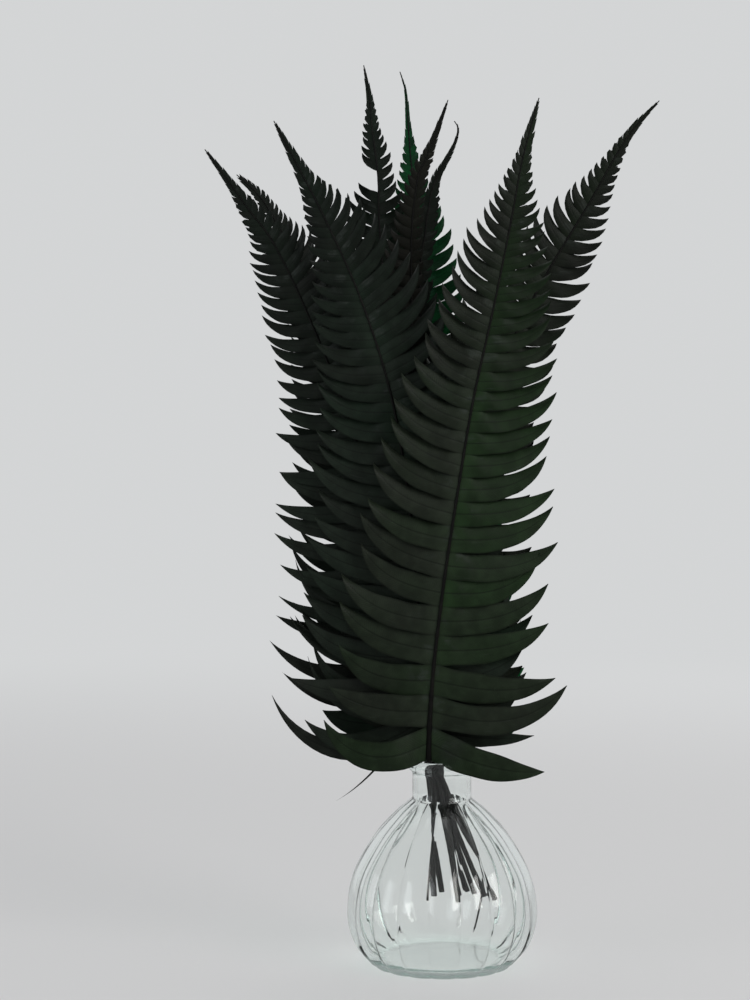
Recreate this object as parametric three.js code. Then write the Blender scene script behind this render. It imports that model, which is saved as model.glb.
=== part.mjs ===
// Nine preserved fern fronds standing in a fluted clear glass bud vase.
// Millimetres, +Z up, origin at the centre of the vase's flat base. The front of the bunch faces -Y.
import * as THREE from 'three';

// The vase: a fluted belly under a plain round neck with a turned-out lip.
const vaseHeight = 120;
const baseRadius = 38;
const belly = [[42, 1.4], [51.7, 13.6], [56, 31], [52.2, 53], [39.5, 75.5], [27, 89.5], [17.3, 97.5]];
const bellySteps = 9;
const neckRadius = 17.2;
const neckTop = 112;
const lipRadius = 20.8;
const lipThickness = 5.5;
const lipArc = [-60, 175];
const lipSteps = 6;
const boreRadius = 15;
const wallThickness = 2.8;
const floorThickness = 6.5;
const fluteCount = 18;
const fluteDepth = 2.4;
const columnsPerFlute = 3;

// Where the stems stand: cut ends, the waist where they squeeze together, and the rim.
const cutHeight = 39;
const waistHeight = 102;
const rimHeight = 121;
const waistCentre = [-2.1, 0];
const stemPitch = 3.6;
const stemRadius = 1.6;
const tipRadius = 0.35;
const stemTaper = 0.0036;
const stemStep = 11;
const stemSection = [[-0.85, -0.45], [0, -1], [0.85, -0.45], [0.85, 0.45], [0, 1], [-0.85, 0.45]];
const splay = 1.3;

// How the bunch fans out in depth. Each frond lies in one layer, from -1 in front to 1 behind.
const waistDepth = 5;
const fanDepth = 65;
const fanHeight = 220;
const wrap = 0.45;
const wrapWidth = 70;
const wrapGrowth = 0.18;

// One pinna, by its distance from the tip of the frond. Near the tip most of its length is joined to
// its neighbours, so the frond ends in one narrow toothed blade.
const pinnaLengths = [[0, 1.2], [32, 4.3], [45, 8], [54, 12], [64, 15.5], [90, 27], [118, 36], [185, 51], [260, 60],
  [330, 62], [420, 56]];
const joinedPart = [[0, 0.86], [32, 0.8], [60, 0.42], [100, 0.2]];
const tipPitch = 5;
const pitchGrowth = 0.037;
const tipRise = 44;
const baseRise = -4;
const riseFade = 150;
const sweep = 50;
const pinnaThickness = 0.6;
const pinnaFill = 0.9;
const shingle = 0.45;
const pinnaLevels = [[0.32, 0.97], [0.72, 0.68]];
const shortPinna = 10;
const bareScar = 0.8;
const skirtPairs = 2;
const skirtRun = 0.36;

// row and column say where the stem stands in the waist, foot is the cut end as [x, y], and route is
// the midrib as [x, z] from the rim to the tip. bare is the height of the lowest pinna, pitch spreads
// the pinnae, and skirt is how far the lowest pair reaches forward over the rim. left and right widen
// or narrow each half of the blade, as [distance from the tip, factor]. droopLeft and droopRight are
// the angles by which the lowest pinnae hang. odd lists unlike pinnae, as
// [side, lowest root, highest root, length factor, droop, extra sweep, width factor].
const fronds = [
  {
    name: 'frond_front', layer: -1, row: -1, column: -1, foot: [-10, -9],
    bare: 123.8, pitch: 1.08, skirt: 12, colour: 0x16241a,
    left: [[0, 0.85], [60, 0.95], [140, 1.02], [330, 1.02]],
    right: [[0, 0.98], [330, 1.04]],
    droopLeft: [-3, -3, -1], droopRight: [-26, -8, -4],
    odd: [[-1, 120, 141, 1, -20, 45, 1], [1, 142, 158, 1.28, 0, 4, 0.95]],
    route: [[-8, 121], [-6, 170], [0, 225], [8, 280], [16, 329], [27, 380], [37, 430], [43, 463],
      [52, 497]],
  },
  {
    name: 'frond_left_inner', layer: -0.75, row: -1, column: 1, foot: [33, -6],
    bare: 139, pitch: 1, skirt: 0, colour: 0x141c18,
    left: [[0, 0.85], [60, 0.8], [110, 0.85], [330, 1.15]],
    right: [[0, 1], [50, 1.1], [75, 1.3], [110, 1.15], [200, 1], [330, 1]],
    droopLeft: [-12, -5], droopRight: [-12, -5],
    odd: [[-1, 136, 157, 1.05, -14, 30, 1]],
    route: [[-3, 121], [-9.5, 157], [-15, 215], [-20, 273], [-30, 332], [-47, 386], [-67, 431],
      [-84, 464], [-96.5, 487.5]],
  },
  {
    name: 'frond_left_outer', layer: -0.5, row: -1, column: 0, foot: [8, -14],
    bare: 133, pitch: 0.92, skirt: 0, colour: 0x131a17,
    left: [[0, 0.72], [45, 0.85], [80, 0.93], [110, 0.85], [165, 0.78], [215, 0.95], [275, 1.08],
      [330, 1.2]],
    right: [[0, 0.9], [330, 1]],
    droopLeft: [-10, -9, -3], droopRight: [-14, -8, -4],
    odd: [[-1, 128, 150, 1.28, -16, 42, 0.85]],
    route: [[-6.3, 121], [-14.5, 156], [-33, 249], [-56, 324], [-79, 382], [-97.5, 420], [-111.5, 439],
      [-124.5, 457], [-137, 474]],
  },
  {
    name: 'frond_right', layer: -0.25, row: 0, column: 1, foot: [25, 2],
    bare: 138, pitch: 0.97, skirt: 0, colour: 0x14211a,
    left: [[0, 0.85], [60, 0.8], [110, 0.82], [330, 1]],
    right: [[0, 0.68], [130, 0.76], [185, 0.58], [330, 0.8]],
    droopLeft: [-10, -4], droopRight: [-10, -4],
    odd: [],
    route: [[-0.5, 121], [3, 202], [17, 295], [38, 359], [60, 403], [84, 443], [106, 481], [125, 503]],
  },
  {
    name: 'frond_middle', layer: 0, row: 0, column: -1, foot: [-3, 3],
    bare: 144, pitch: 1, skirt: 0, colour: 0x1a1a16,
    left: [[0, 0.66], [45, 0.75], [80, 0.62], [330, 1]],
    right: [[0, 0.66], [45, 0.66], [65, 0.38], [160, 0.32], [250, 0.6], [330, 0.92]],
    droopLeft: [-6], droopRight: [-6],
    odd: [],
    route: [[-6.5, 121], [-9, 202], [-16, 330], [-18, 418], [-14.5, 458], [-10, 470], [-5, 482],
      [3.3, 505]],
  },
  {
    name: 'frond_hooked', layer: 0.25, row: 0, column: 0, foot: [13, 5],
    bare: 148, pitch: 0.92, skirt: 0, colour: 0x141b17,
    left: [[0, 0.5], [40, 0.55], [60, 0.35], [120, 0.28], [200, 0.5], [330, 0.95]],
    right: [[0, 0.5], [40, 0.55], [60, 0.35], [120, 0.28], [200, 0.5], [330, 0.95]],
    droopLeft: [-6], droopRight: [-6],
    odd: [],
    route: [[-3.5, 121], [-6, 230], [-9, 390], [-7.5, 430], [-6, 447], [-4.5, 457], [-1.5, 465],
      [2.5, 471.5], [7, 480], [9.4, 487], [9.6, 491.5], [7.5, 495]],
  },
  {
    name: 'frond_left_back', layer: 0.5, row: 1, column: -1, foot: [1, 15],
    bare: 141, pitch: 1, skirt: 0, colour: 0x141a17,
    left: [[0, 1.3], [45, 1], [120, 0.8], [330, 1.15]],
    right: [[0, 1.5], [60, 1.2], [120, 0.95], [330, 1]],
    droopLeft: [-10, -5], droopRight: [-10, -5],
    odd: [[-1, 138, 157, 1.2, -16, -30, 0.14]],
    route: [[-9, 121], [-16, 160], [-42, 289], [-72, 390], [-97, 435], [-108, 452], [-121, 464]],
  },
  {
    name: 'frond_back_tall', layer: 0.75, row: 1, column: 0, foot: [18, 17],
    bare: 136, pitch: 1.2, skirt: 0, colour: 0x121c17,
    left: [[0, 0.62], [45, 0.9], [62, 0.78], [75, 0.62], [100, 0.8], [200, 0.9], [330, 1.05]],
    right: [[0, 0.62], [45, 0.9], [62, 0.78], [75, 0.62], [100, 0.75], [200, 0.85], [330, 1.05]],
    droopLeft: [-9, -4], droopRight: [-9, -4],
    odd: [[-1, 457, 467, 0, 0, 0, 1]],
    route: [[-5.6, 121], [-15, 200], [-27, 331], [-36, 428], [-37.5, 466], [-41, 495], [-42.5, 513],
      [-46, 533]],
  },
  {
    name: 'frond_back', layer: 1, row: 1, column: 1, foot: [21, 10],
    bare: 131, pitch: 1.1, skirt: 0, colour: 0x123420,
    left: [[0, 0.42], [40, 0.45], [80, 0.7], [330, 1.05]],
    right: [[0, 0.42], [40, 0.45], [60, 0.55], [110, 0.64], [170, 0.64], [250, 0.8], [330, 0.85]],
    droopLeft: [-14, -8, -3], droopRight: [-14, -8, -3],
    odd: [],
    route: [[-1.4, 121], [-5, 271], [-8, 380], [-11, 430], [-17, 475], [-20, 515], [-21.5, 524],
      [-24, 532]],
  },
];

// A mesh from points and from faces that list three or four corners.
function solid(points, faces) {
  const geometry = new THREE.BufferGeometry();
  geometry.setAttribute('position', new THREE.Float32BufferAttribute(points.flat(), 3));
  geometry.setIndex(faces.flatMap((f) => (f.length === 4 ? [f[0], f[1], f[2], f[0], f[2], f[3]] : f)));
  geometry.computeVertexNormals();
  return geometry;
}

// The value at x on a line through the given [x, value] knots.
function along(knots, x) {
  const next = knots.findIndex((knot) => knot[0] >= x);
  if (next === 0) return knots[0][1];
  if (next < 0) return knots[knots.length - 1][1];
  const [x0, y0] = knots[next - 1];
  const [x1, y1] = knots[next];
  return y0 + ((y1 - y0) * (x - x0)) / (x1 - x0);
}

function smooth(t) {
  const s = Math.min(1, Math.max(0, t));
  return s * s * (3 - 2 * s);
}

// Half of the vase's outline, as [radius, height, flute depth], from the foot up and down the inside.
function vaseOutline() {
  const curve = new THREE.SplineCurve(belly.map((p) => new THREE.Vector2(...p)));
  const outside = [[baseRadius, 0, fluteDepth / 2]];
  const inside = [];
  for (let i = 0; i <= bellySteps; i += 1) {
    const t = i / bellySteps;
    const p = curve.getPoint(t);
    const d = curve.getTangent(t);
    outside.push([p.x, p.y, fluteDepth * Math.min(1, 0.5 + 3 * t, 4 * (1 - t))]);
    const z = p.y + d.x * wallThickness;
    if (i < bellySteps && z > floorThickness + 1) inside.unshift([p.x - d.y * wallThickness, z, 0]);
  }
  const bead = lipThickness / 2;
  const lip = [];
  for (let i = 0; i <= lipSteps; i += 1) {
    const angle = THREE.MathUtils.degToRad(lipArc[0] + ((lipArc[1] - lipArc[0]) * i) / lipSteps);
    lip.push([lipRadius - bead + bead * Math.cos(angle), vaseHeight - bead + bead * Math.sin(angle), 0]);
  }
  const neckFoot = belly[belly.length - 1][1];
  return [
    ...outside, [neckRadius, neckTop, 0], ...lip, [boreRadius, neckTop, 0], [boreRadius, neckFoot, 0],
    ...inside, [baseRadius - wallThickness, floorThickness, 0],
  ];
}

function vase() {
  const outline = vaseOutline();
  const columns = fluteCount * columnsPerFlute;
  const points = [[0, 0, 0]];
  const faces = [];
  for (const [radius, z, depth] of outline) {
    for (let k = 0; k < columns; k += 1) {
      const angle = (2 * Math.PI * k) / columns;
      const r = k % columnsPerFlute === 0 ? radius - depth : radius;
      points.push([r * Math.cos(angle), r * Math.sin(angle), z]);
    }
  }
  const top = points.push([0, 0, floorThickness]) - 1;
  for (let k = 0; k < columns; k += 1) {
    const n = (k + 1) % columns;
    faces.push([0, 1 + n, 1 + k]);
    for (let i = 0; i + 1 < outline.length; i += 1) {
      const low = 1 + i * columns;
      faces.push([low + k, low + n, low + columns + n, low + columns + k]);
    }
    const last = 1 + (outline.length - 1) * columns;
    faces.push([last + k, last + n, top]);
  }
  return solid(points, faces);
}

// The depth of a layer at a place in the front view.
function layerDepth(layer, x, z) {
  const spread = waistDepth + fanDepth * (1 - Math.exp(-Math.max(0, z - waistHeight + 2) / fanHeight));
  const width = wrapWidth + wrapGrowth * (z - waistHeight);
  return layer * spread * (1 - wrap * Math.min(1, (x / width) ** 2));
}

// The midrib in the front view, from the cut end to the tip, and its depth at each height.
function midrib(frond) {
  const waist = [waistCentre[0] + frond.column * stemPitch, waistHeight];
  const middle = [(frond.foot[0] + 2 * waist[0]) / 3, (cutHeight + 2 * waistHeight) / 3];
  const route = [[frond.foot[0], cutHeight], middle, waist, ...frond.route];
  const curve = new THREE.SplineCurve(route.map((p) => new THREE.Vector2(...p)));
  curve.arcLengthDivisions = 600;
  const waistY = waistCentre[1] + frond.row * stemPitch;
  const depthAt = (x, z) => {
    if (z <= waistHeight) {
      const drop = (waistHeight - z) / (waistHeight - cutHeight);
      return waistY + (frond.foot[1] - waistY) * drop ** splay;
    }
    const blend = smooth((z - waistHeight) / (rimHeight - waistHeight));
    return waistY + (layerDepth(frond.layer, x, z) - waistY) * blend;
  };
  return { curve, depthAt, length: curve.getLength() };
}

// Distances from the tip at which one pair of pinnae ends and the next begins, lowest first.
function pairBounds(bladeLength, spread) {
  const bounds = [tipPitch];
  let d = tipPitch;
  while (d < bladeLength) {
    d += (tipPitch + pitchGrowth * d) * spread;
    bounds.unshift(d);
  }
  const fit = bladeLength / bounds[1];
  return bounds.slice(1).map((bound) => bound * fit);
}

function frondSolid(frond) {
  const { curve, depthAt, length } = midrib(frond);
  const lift = frond.layer <= 0.1 ? -shingle : shingle;
  let bladeStart = 0;
  while (curve.getPointAt(bladeStart / length).y < frond.bare) bladeStart += 1;
  const bounds = pairBounds(length - bladeStart, frond.pitch);
  const stemLength = length - bounds[0];
  const stemParts = Math.round(stemLength / stemStep);
  const stations = [];
  for (let i = 0; i < stemParts; i += 1) stations.push((i * stemLength) / stemParts);
  for (const d of bounds) stations.push(length - d);

  const points = [];
  const faces = [];
  const corners = stemSection.length;
  const frames = stations.map((s) => {
    const p = curve.getPointAt(s / length);
    const t = curve.getTangentAt(s / length);
    const r = Math.min(stemRadius, tipRadius + (length - s) * stemTaper);
    const y = depthAt(p.x, p.y);
    for (const [across, deep] of stemSection) {
      points.push([p.x + t.y * across * r, y + deep * r, p.y - t.x * across * r]);
    }
    return { x: p.x, y, z: p.y, heading: Math.atan2(t.x, t.y) };
  });
  const tip = curve.getPointAt(1);
  const apex = points.push([tip.x, depthAt(tip.x, tip.y), tip.y]) - 1;
  const foot = points.push([frames[0].x, frames[0].y, frames[0].z]) - 1;

  // The skin of the midrib. Its two flat sides stay open wherever a pinna grows.
  for (let i = 0; i + 1 < frames.length; i += 1) {
    for (let k = 0; k < corners; k += 1) {
      const open = i >= stemParts && (k === 2 || k === 5);
      const n = (k + 1) % corners;
      const a = i * corners;
      if (!open) faces.push([a + k, a + n, a + corners + n, a + corners + k]);
    }
  }
  const end = (frames.length - 1) * corners;
  for (let k = 0; k < corners; k += 1) {
    faces.push([end + k, end + ((k + 1) % corners), apex]);
    faces.push([(k + 1) % corners, k, foot]);
  }

  // One pair of pinnae between each two stations of the blade.
  for (let i = stemParts; i + 1 < frames.length; i += 1) {
    const low = frames[i];
    const high = frames[i + 1];
    const pair = i - stemParts;
    const d = length - (stations[i] + stations[i + 1]) / 2;
    const pitch = stations[i + 1] - stations[i];
    const joined = along(joinedPart, d);
    const middle = { x: (low.x + high.x) / 2, y: (low.y + high.y) / 2, z: (low.z + high.z) / 2 };
    const heading = (low.heading + high.heading) / 2;
    const push = frond.skirt * Math.max(0, 1 - pair / skirtPairs);
    for (const side of [1, -1]) {
      const unlike = frond.odd.find((o) => o[0] === side && o[1] <= middle.z && middle.z < o[2]);
      const [longer, lower, curled, wider] = unlike ? unlike.slice(3) : [1, 0, 0, 1];
      const fullness = along(side > 0 ? frond.right : frond.left, d) * longer;
      const reach = Math.max(bareScar, along(pinnaLengths, d) * fullness);
      const droop = ((side > 0 ? frond.droopRight : frond.droopLeft)[pair] ?? 0) + lower;
      const rise = THREE.MathUtils.degToRad(baseRise + tipRise * Math.exp(-d / riseFade) + droop);
      const bend = THREE.MathUtils.degToRad(sweep + curled);
      const levels = reach < shortPinna ? [[joined, 0.94]] : pinnaLevels;
      const leanAt = (s) => (s <= joined ? 0 : rise + bend * s * s);
      const place = (s, across, deep) => {
        const turn = rise + (bend * s * s) / 3 - heading * side;
        const facing = leanAt(s) - heading * side;
        const x = middle.x + side * (Math.cos(turn) * reach * s - Math.sin(facing) * across);
        const z = middle.z + Math.sin(turn) * reach * s + Math.cos(facing) * across;
        const sheet = layerDepth(frond.layer, x, z) - layerDepth(frond.layer, middle.x, middle.z);
        const relief = lift * (across < 0 ? 1 : -1) - push * smooth(s / skirtRun);
        return points.push([x, middle.y + sheet + relief + deep, z]) - 1;
      };
      const a = i * corners;
      let loop = side > 0 ? [a + 2, a + 3, a + 9, a + 8] : [a + 5, a, a + 6, a + 11];
      for (const [s, fill] of levels) {
        const half = (pitch / 2) * pinnaFill * Math.cos(leanAt(s)) * fill * wider;
        const t = pinnaThickness / 2;
        const ring = [place(s, -half, -t * side), place(s, -half, t * side),
          place(s, half, t * side), place(s, half, -t * side)];
        loop.forEach((v, k) => faces.push([v, loop[(k + 1) % 4], ring[(k + 1) % 4], ring[k]]));
        loop = ring;
      }
      const point = place(1, 0, 0);
      loop.forEach((v, k) => faces.push([v, loop[(k + 1) % 4], point]));
    }
  }
  return solid(points, faces);
}

const glass = new THREE.MeshStandardMaterial({
  color: 0xdcebe6, roughness: 0.04, metalness: 0, transparent: true, opacity: 0.35,
});

const bunch = new THREE.Group();
const vaseMesh = new THREE.Mesh(vase(), glass);
vaseMesh.name = 'glass_vase';
bunch.add(vaseMesh);
for (const frond of fronds) {
  const leaf = new THREE.MeshStandardMaterial({ color: frond.colour, roughness: 0.55, metalness: 0 });
  const mesh = new THREE.Mesh(frondSolid(frond), leaf);
  mesh.name = frond.name;
  bunch.add(mesh);
}

export default bunch;
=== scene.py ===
import math

import bpy
import numpy as np
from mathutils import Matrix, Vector


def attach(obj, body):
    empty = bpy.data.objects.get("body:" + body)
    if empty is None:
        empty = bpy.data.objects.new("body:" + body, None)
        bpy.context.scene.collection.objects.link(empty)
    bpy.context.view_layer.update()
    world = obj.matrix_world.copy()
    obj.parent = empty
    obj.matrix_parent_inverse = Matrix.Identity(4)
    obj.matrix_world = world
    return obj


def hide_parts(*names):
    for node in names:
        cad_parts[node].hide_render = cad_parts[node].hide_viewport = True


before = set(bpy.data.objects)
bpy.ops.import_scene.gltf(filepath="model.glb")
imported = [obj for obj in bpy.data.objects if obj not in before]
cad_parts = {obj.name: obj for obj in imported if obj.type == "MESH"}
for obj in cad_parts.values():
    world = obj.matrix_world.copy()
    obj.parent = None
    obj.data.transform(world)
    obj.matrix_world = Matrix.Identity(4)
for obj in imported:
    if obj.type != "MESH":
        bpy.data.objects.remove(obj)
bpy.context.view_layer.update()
print("frame loaded")

mm = 0.001
scene = bpy.context.scene
leafSlot, ribSlot = 0, 1


def smooth(t):
    s = np.clip(t, 0, 1)
    return s * s * (3 - 2 * s)


def splineThrough(points, steps=40):
    # a Catmull-Rom curve through the points, finely divided
    p = np.array(points, float)
    rows = []
    for i in range(len(p) - 1):
        before, after = p[max(i - 1, 0)], p[min(i + 2, len(p) - 1)]
        v0, v1 = (p[i + 1] - before) / 2, (after - p[i]) / 2
        t = np.linspace(0, 1, steps, endpoint=False)[:, None]
        rows.append((2 * p[i] - 2 * p[i + 1] + v0 + v1) * t**3
                    + (3 * p[i + 1] - 3 * p[i] - 2 * v0 - v1) * t**2 + v0 * t + p[i])
    rows.append(p[-1:])
    return np.concatenate(rows)


# How the bunch stands and fans out, in millimetres. Every frond lies in one curved layer, from -1 in
# front to 1 behind. The stems cross the waist of the neck in rows and columns.
bunch = {
    "cutHeight": 39,
    "waistHeight": 102,
    "rimHeight": 121,
    "waistX": -2.1,
    "stemPitch": 3.6,
    "stagger": 1.2,  # sideways shift from one row of stems to the next
    "splay": 1.3,
    "waistDepth": 5,
    "fanDepth": 65,
    "fanHeight": 220,
    "wrap": 0.45,  # how far the sides of a layer curve back towards the middle one
    "wrapWidth": 70,
    "wrapGrowth": 0.18,
    "layerGap": 0.25,  # one step from a layer to the next
}


def layerSpread(z):
    return bunch["waistDepth"] + bunch["fanDepth"] * (
        1 - np.exp(-np.maximum(0, z - bunch["waistHeight"] + 2) / bunch["fanHeight"]))


def layerWrap(x, z):
    width = bunch["wrapWidth"] + bunch["wrapGrowth"] * (z - bunch["waistHeight"])
    return 1 - bunch["wrap"] * np.minimum(1, (x / width) ** 2)


def layerDepth(layer, x, z):
    return layer * layerSpread(z) * layerWrap(x, z)


# What every frond shares, in millimetres and degrees. Lists that end in At are distances from the tip.
blade = {
    "lengthAt": [0, 10, 20, 32, 45, 54, 64, 90, 118, 185, 260, 330, 420],
    "length": [1.1, 2.7, 4.2, 5.8, 9, 12.4, 15.8, 27, 36, 51, 60, 62, 56],
    "joinedAt": [0, 34, 60, 100, 200, 400],
    "joined": [0.97, 0.92, 0.5, 0.16, 0.07, 0.05],  # the share of a pinna that is one with its neighbours
    "tipPitch": 2.6,
    "pitchGrowth": 0.0455,
    "pitchRange": 400,
    "tipRise": 44,
    "baseRise": -4,
    "riseFade": 150,
    "sweep": 57,
    "fillAt": [0, 60, 140, 260, 400],
    "fill": [1.0, 1.0, 1.02, 1.02, 1.02],
    "taperAt": [60, 140, 280],
    "taper": [2.5, 3.2, 3.6],
    "point": [0.8, 0.85, 1.05],
    "thickness": 0.42,
    "tipHalf": 0.05,
    "unrulyFrom": 150,
    "unrulyRun": 200,
    "lowFrom": 270,
    "lowRun": 90,
    "skirtPairs": 2,  # the lowest pairs, which are pushed out over the rim
    "skirtRun": 0.36,
    "shingle": 1.4,
    "arch": 0.55,
    "rootSwell": 0.7,
    "tipCurl": 1.6,
    "ripple": 0.2,
    "veinDepth": 0.2,
    "stepLength": 2.8,
    "acrossSteps": (-1, -0.84, -0.55, -0.24, -0.07, 0, 0.07, 0.24, 0.55, 0.84, 1),
    "stemRadius": 1.6,
    "tipRadius": 0.42,
    "stemTaper": 0.0036,
    "groove": 0.22,
    "joint": 0.16,
    "footWidth": 0.8,  # width of the stem against its depth: at the foot, then in the neck and the blade
    "neckWiden": 0.28,
    "bladeNarrow": 0.42,
    "ribSides": 12,
    "ribStep": 1.8,
    "sharpAngle": 52,
}

# One entry for each frond. row and column place its stem in the waist, foot is the cut end, bare is the
# height of the lowest pinna, and pitch spreads the pinnae at the tip and low down. left and right are
# factors on the length of the pinnae of each half, by the distance from the tip. odd lists unlike pinnae:
# side, lowest and highest root, the factor on their length, degrees of droop and of extra sweep, and the
# factor on their width. route is the midrib as x and z, from the rim to the tip. tone leans the dye from
# its grey end, 0, to its green end, 1, green paints one half greener and lighter than the other, as painted
# light falling on that side, and shade darkens or lightens it all.
fronds = {
    "frond_front": {
        "layer": -1, "row": -1, "column": -1, "foot": (-10, -9), "bare": 122,
        "pitch": (1.25, 1), "skirt": 12, "joined": 1, "unruly": 0.35,
        "slot": "deep_green_leaf", "seed": 11, "green": 0.42, "tone": 0.5, "shade": 1,
        "left": ((0, 0.85), (60, 1), (105, 0.96), (150, 0.9), (225, 0.92), (285, 0.94), (315, 1.02),
                 (380, 1.04)),
        "right": ((0, 0.98), (230, 1.0), (270, 1.08), (360, 1.1)),
        "droopsLeft": (-3, -3, -1), "droopsRight": (-25, -8, -4),
        "odd": ((-1, 120, 141, 1, -20, 45, 1), (1, 120, 138, 1.1, 0, -46, 1),
                (1, 146, 163, 1.24, 0, 8, 0.95)),
        "route": ((-8, 121), (-6, 170), (0, 225), (8, 280), (16, 329), (27, 380), (37, 430), (43, 463),
                  (52, 497)),
    },
    "frond_left_inner": {
        "layer": -0.75, "row": -1, "column": 1, "foot": (33, -6), "bare": 139,
        "pitch": (1.25, 0.95), "skirt": 0, "joined": 1.7, "unruly": 0.8,
        "slot": "grey_green_leaf", "seed": 12, "green": 0.1, "tone": 0.6, "shade": 1,
        "left": ((0, 0.85), (60, 0.8), (110, 0.85), (330, 1.15)),
        "right": ((0, 1), (50, 1.1), (75, 1.3), (110, 1.15), (200, 1), (330, 1)),
        "droopsLeft": (-12, -5), "droopsRight": (-12, -5),
        "odd": ((-1, 136, 157, 1.05, -14, 30, 1),),
        "route": ((-3, 121), (-9.5, 157), (-15, 215), (-20, 273), (-30, 332), (-47, 386), (-67, 431),
                  (-84, 464), (-96.5, 487.5)),
    },
    "frond_left_outer": {
        "layer": -0.5, "row": -1, "column": 0, "foot": (8, -14), "bare": 133,
        "pitch": (1.25, 0.6), "skirt": 0, "joined": 1.15, "unruly": 2.3,
        "slot": "grey_green_leaf", "seed": 13, "green": 0.0, "tone": 0.45, "shade": 0.95,
        "left": ((0, 0.72), (45, 0.85), (80, 0.93), (110, 0.85), (165, 0.78), (215, 0.95), (275, 1.12),
                 (330, 1.3)),
        "right": ((0, 0.9), (330, 1)),
        "droopsLeft": (-10, -9, -3), "droopsRight": (-14, -8, -4),
        "odd": ((-1, 128, 144, 0.98, -20, 40, 0.9),),
        "route": ((-6.3, 121), (-14.5, 156), (-33, 249), (-56, 324), (-79, 382), (-97.5, 420),
                  (-111.5, 439), (-124.5, 457), (-137, 474)),
    },
    "frond_right": {
        "layer": -0.25, "row": 0, "column": 1, "foot": (25, 2), "bare": 138,
        "pitch": (1.3, 0.95), "skirt": 0, "joined": 0.9, "unruly": 0.5,
        "slot": "deep_green_leaf", "seed": 14, "green": -0.1, "tone": 0.3, "shade": 0.68,
        "left": ((0, 0.85), (60, 0.8), (110, 0.82), (330, 1)),
        "right": ((0, 0.68), (130, 0.76), (185, 0.58), (330, 0.8)),
        "droopsLeft": (-10, -4), "droopsRight": (-10, -4),
        "odd": (),
        "route": ((-0.5, 121), (3, 202), (17, 295), (38, 359), (60, 403), (84, 443), (106, 481),
                  (125, 503)),
    },
    "frond_middle": {
        "layer": 0, "row": 0, "column": -1, "foot": (-3, 3), "bare": 144,
        "pitch": (1.05, 1), "skirt": 0, "joined": 1, "unruly": 0.5,
        "slot": "brown_black_leaf", "seed": 15, "green": 0.0, "tone": 0.5, "shade": 0.9,
        "left": ((0, 0.66), (45, 0.75), (80, 0.62), (330, 1)),
        "right": ((0, 0.66), (45, 0.75), (65, 0.5), (90, 0.28), (160, 0.2), (250, 0.6), (330, 0.92)),
        "droopsLeft": (-6,), "droopsRight": (-6,),
        "odd": (),
        "route": ((-6.5, 121), (-9, 202), (-16, 330), (-18, 418), (-14.5, 458), (-10, 470), (-5, 482),
                  (3.3, 505)),
    },
    "frond_hooked": {
        "layer": 0.25, "row": 0, "column": 0, "foot": (13, 5), "bare": 148,
        "pitch": (0.95, 0.92), "skirt": 0, "joined": 1.35, "unruly": 0.6,
        "slot": "grey_green_leaf", "seed": 16, "green": 0.0, "tone": 0.5, "shade": 0.85,
        "left": ((0, 0.5), (40, 0.55), (60, 0.35), (120, 0.28), (200, 0.5), (330, 0.95)),
        "right": ((0, 0.5), (40, 0.62), (60, 0.55), (85, 0.36), (110, 0.2), (170, 0.2), (330, 0.95)),
        "droopsLeft": (-6,), "droopsRight": (-6,),
        "odd": (),
        "route": ((-3.5, 121), (-8, 230), (-12.5, 390), (-9.5, 430), (-7, 447), (-4.8, 457), (-1.5, 465),
                  (2.5, 471.5), (7, 480), (9.4, 487), (9.6, 491.5), (7.5, 495)),
    },
    "frond_left_back": {
        "layer": 0.5, "row": 1, "column": -1, "foot": (1, 15), "bare": 141,
        "pitch": (1.15, 0.62), "skirt": 0, "joined": 0.45, "unruly": 2,
        "slot": "grey_green_leaf", "seed": 17, "green": 0.0, "tone": 0.4, "shade": 0.9,
        "left": ((0, 1.3), (45, 1), (120, 0.8), (260, 1), (330, 1.3)),
        "right": ((0, 1.5), (60, 1.2), (120, 0.95), (330, 1)),
        "droopsLeft": (-10, -5), "droopsRight": (-10, -5),
        "odd": ((-1, 138, 152, 0.8, -24, -28, 0.16),),
        "route": ((-9, 121), (-16, 160), (-42, 289), (-72, 390), (-97, 435), (-108, 452), (-121, 464)),
    },
    "frond_back_tall": {
        "layer": 0.75, "row": 1, "column": 0, "foot": (18, 17), "bare": 136,
        "pitch": (1.15, 1.15), "skirt": 0, "joined": 0.7, "unruly": 0.5,
        "slot": "grey_green_leaf", "seed": 18, "green": 0.0, "tone": 0.85, "shade": 0.85,
        "left": ((0, 0.62), (45, 0.9), (62, 0.78), (75, 0.62), (100, 0.8), (200, 0.9), (330, 1.05)),
        "right": ((0, 0.62), (45, 0.9), (62, 0.78), (75, 0.62), (100, 0.75), (200, 0.85), (330, 1.05)),
        "droopsLeft": (-9, -4), "droopsRight": (-9, -4),
        "odd": ((-1, 457, 467, 0, 0, 0, 1),),
        "route": ((-5.6, 121), (-15, 200), (-27, 331), (-36, 428), (-37.5, 466), (-41, 495), (-42.5, 513),
                  (-46, 533)),
    },
    "frond_back": {
        "layer": 1, "row": 1, "column": 1, "foot": (21, 10), "bare": 131,
        "pitch": (1.2, 1.05), "skirt": 0, "joined": 1.25, "unruly": 0.6,
        "slot": "emerald_leaf", "seed": 19, "green": 0.0, "tone": 0.5, "shade": 1.05,
        "left": ((0, 0.42), (40, 0.45), (80, 0.7), (330, 1.05)),
        "right": ((0, 0.42), (40, 0.45), (60, 0.55), (110, 0.64), (170, 0.64), (250, 0.8), (330, 0.85)),
        "droopsLeft": (-14, -8, -3), "droopsRight": (-14, -8, -3),
        "odd": (),
        "route": ((-1.4, 121), (-5, 271), (-8, 380), (-11, 430), (-17, 475), (-20, 515), (-21.5, 524),
                  (-24, 532)),
    },
}


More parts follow.
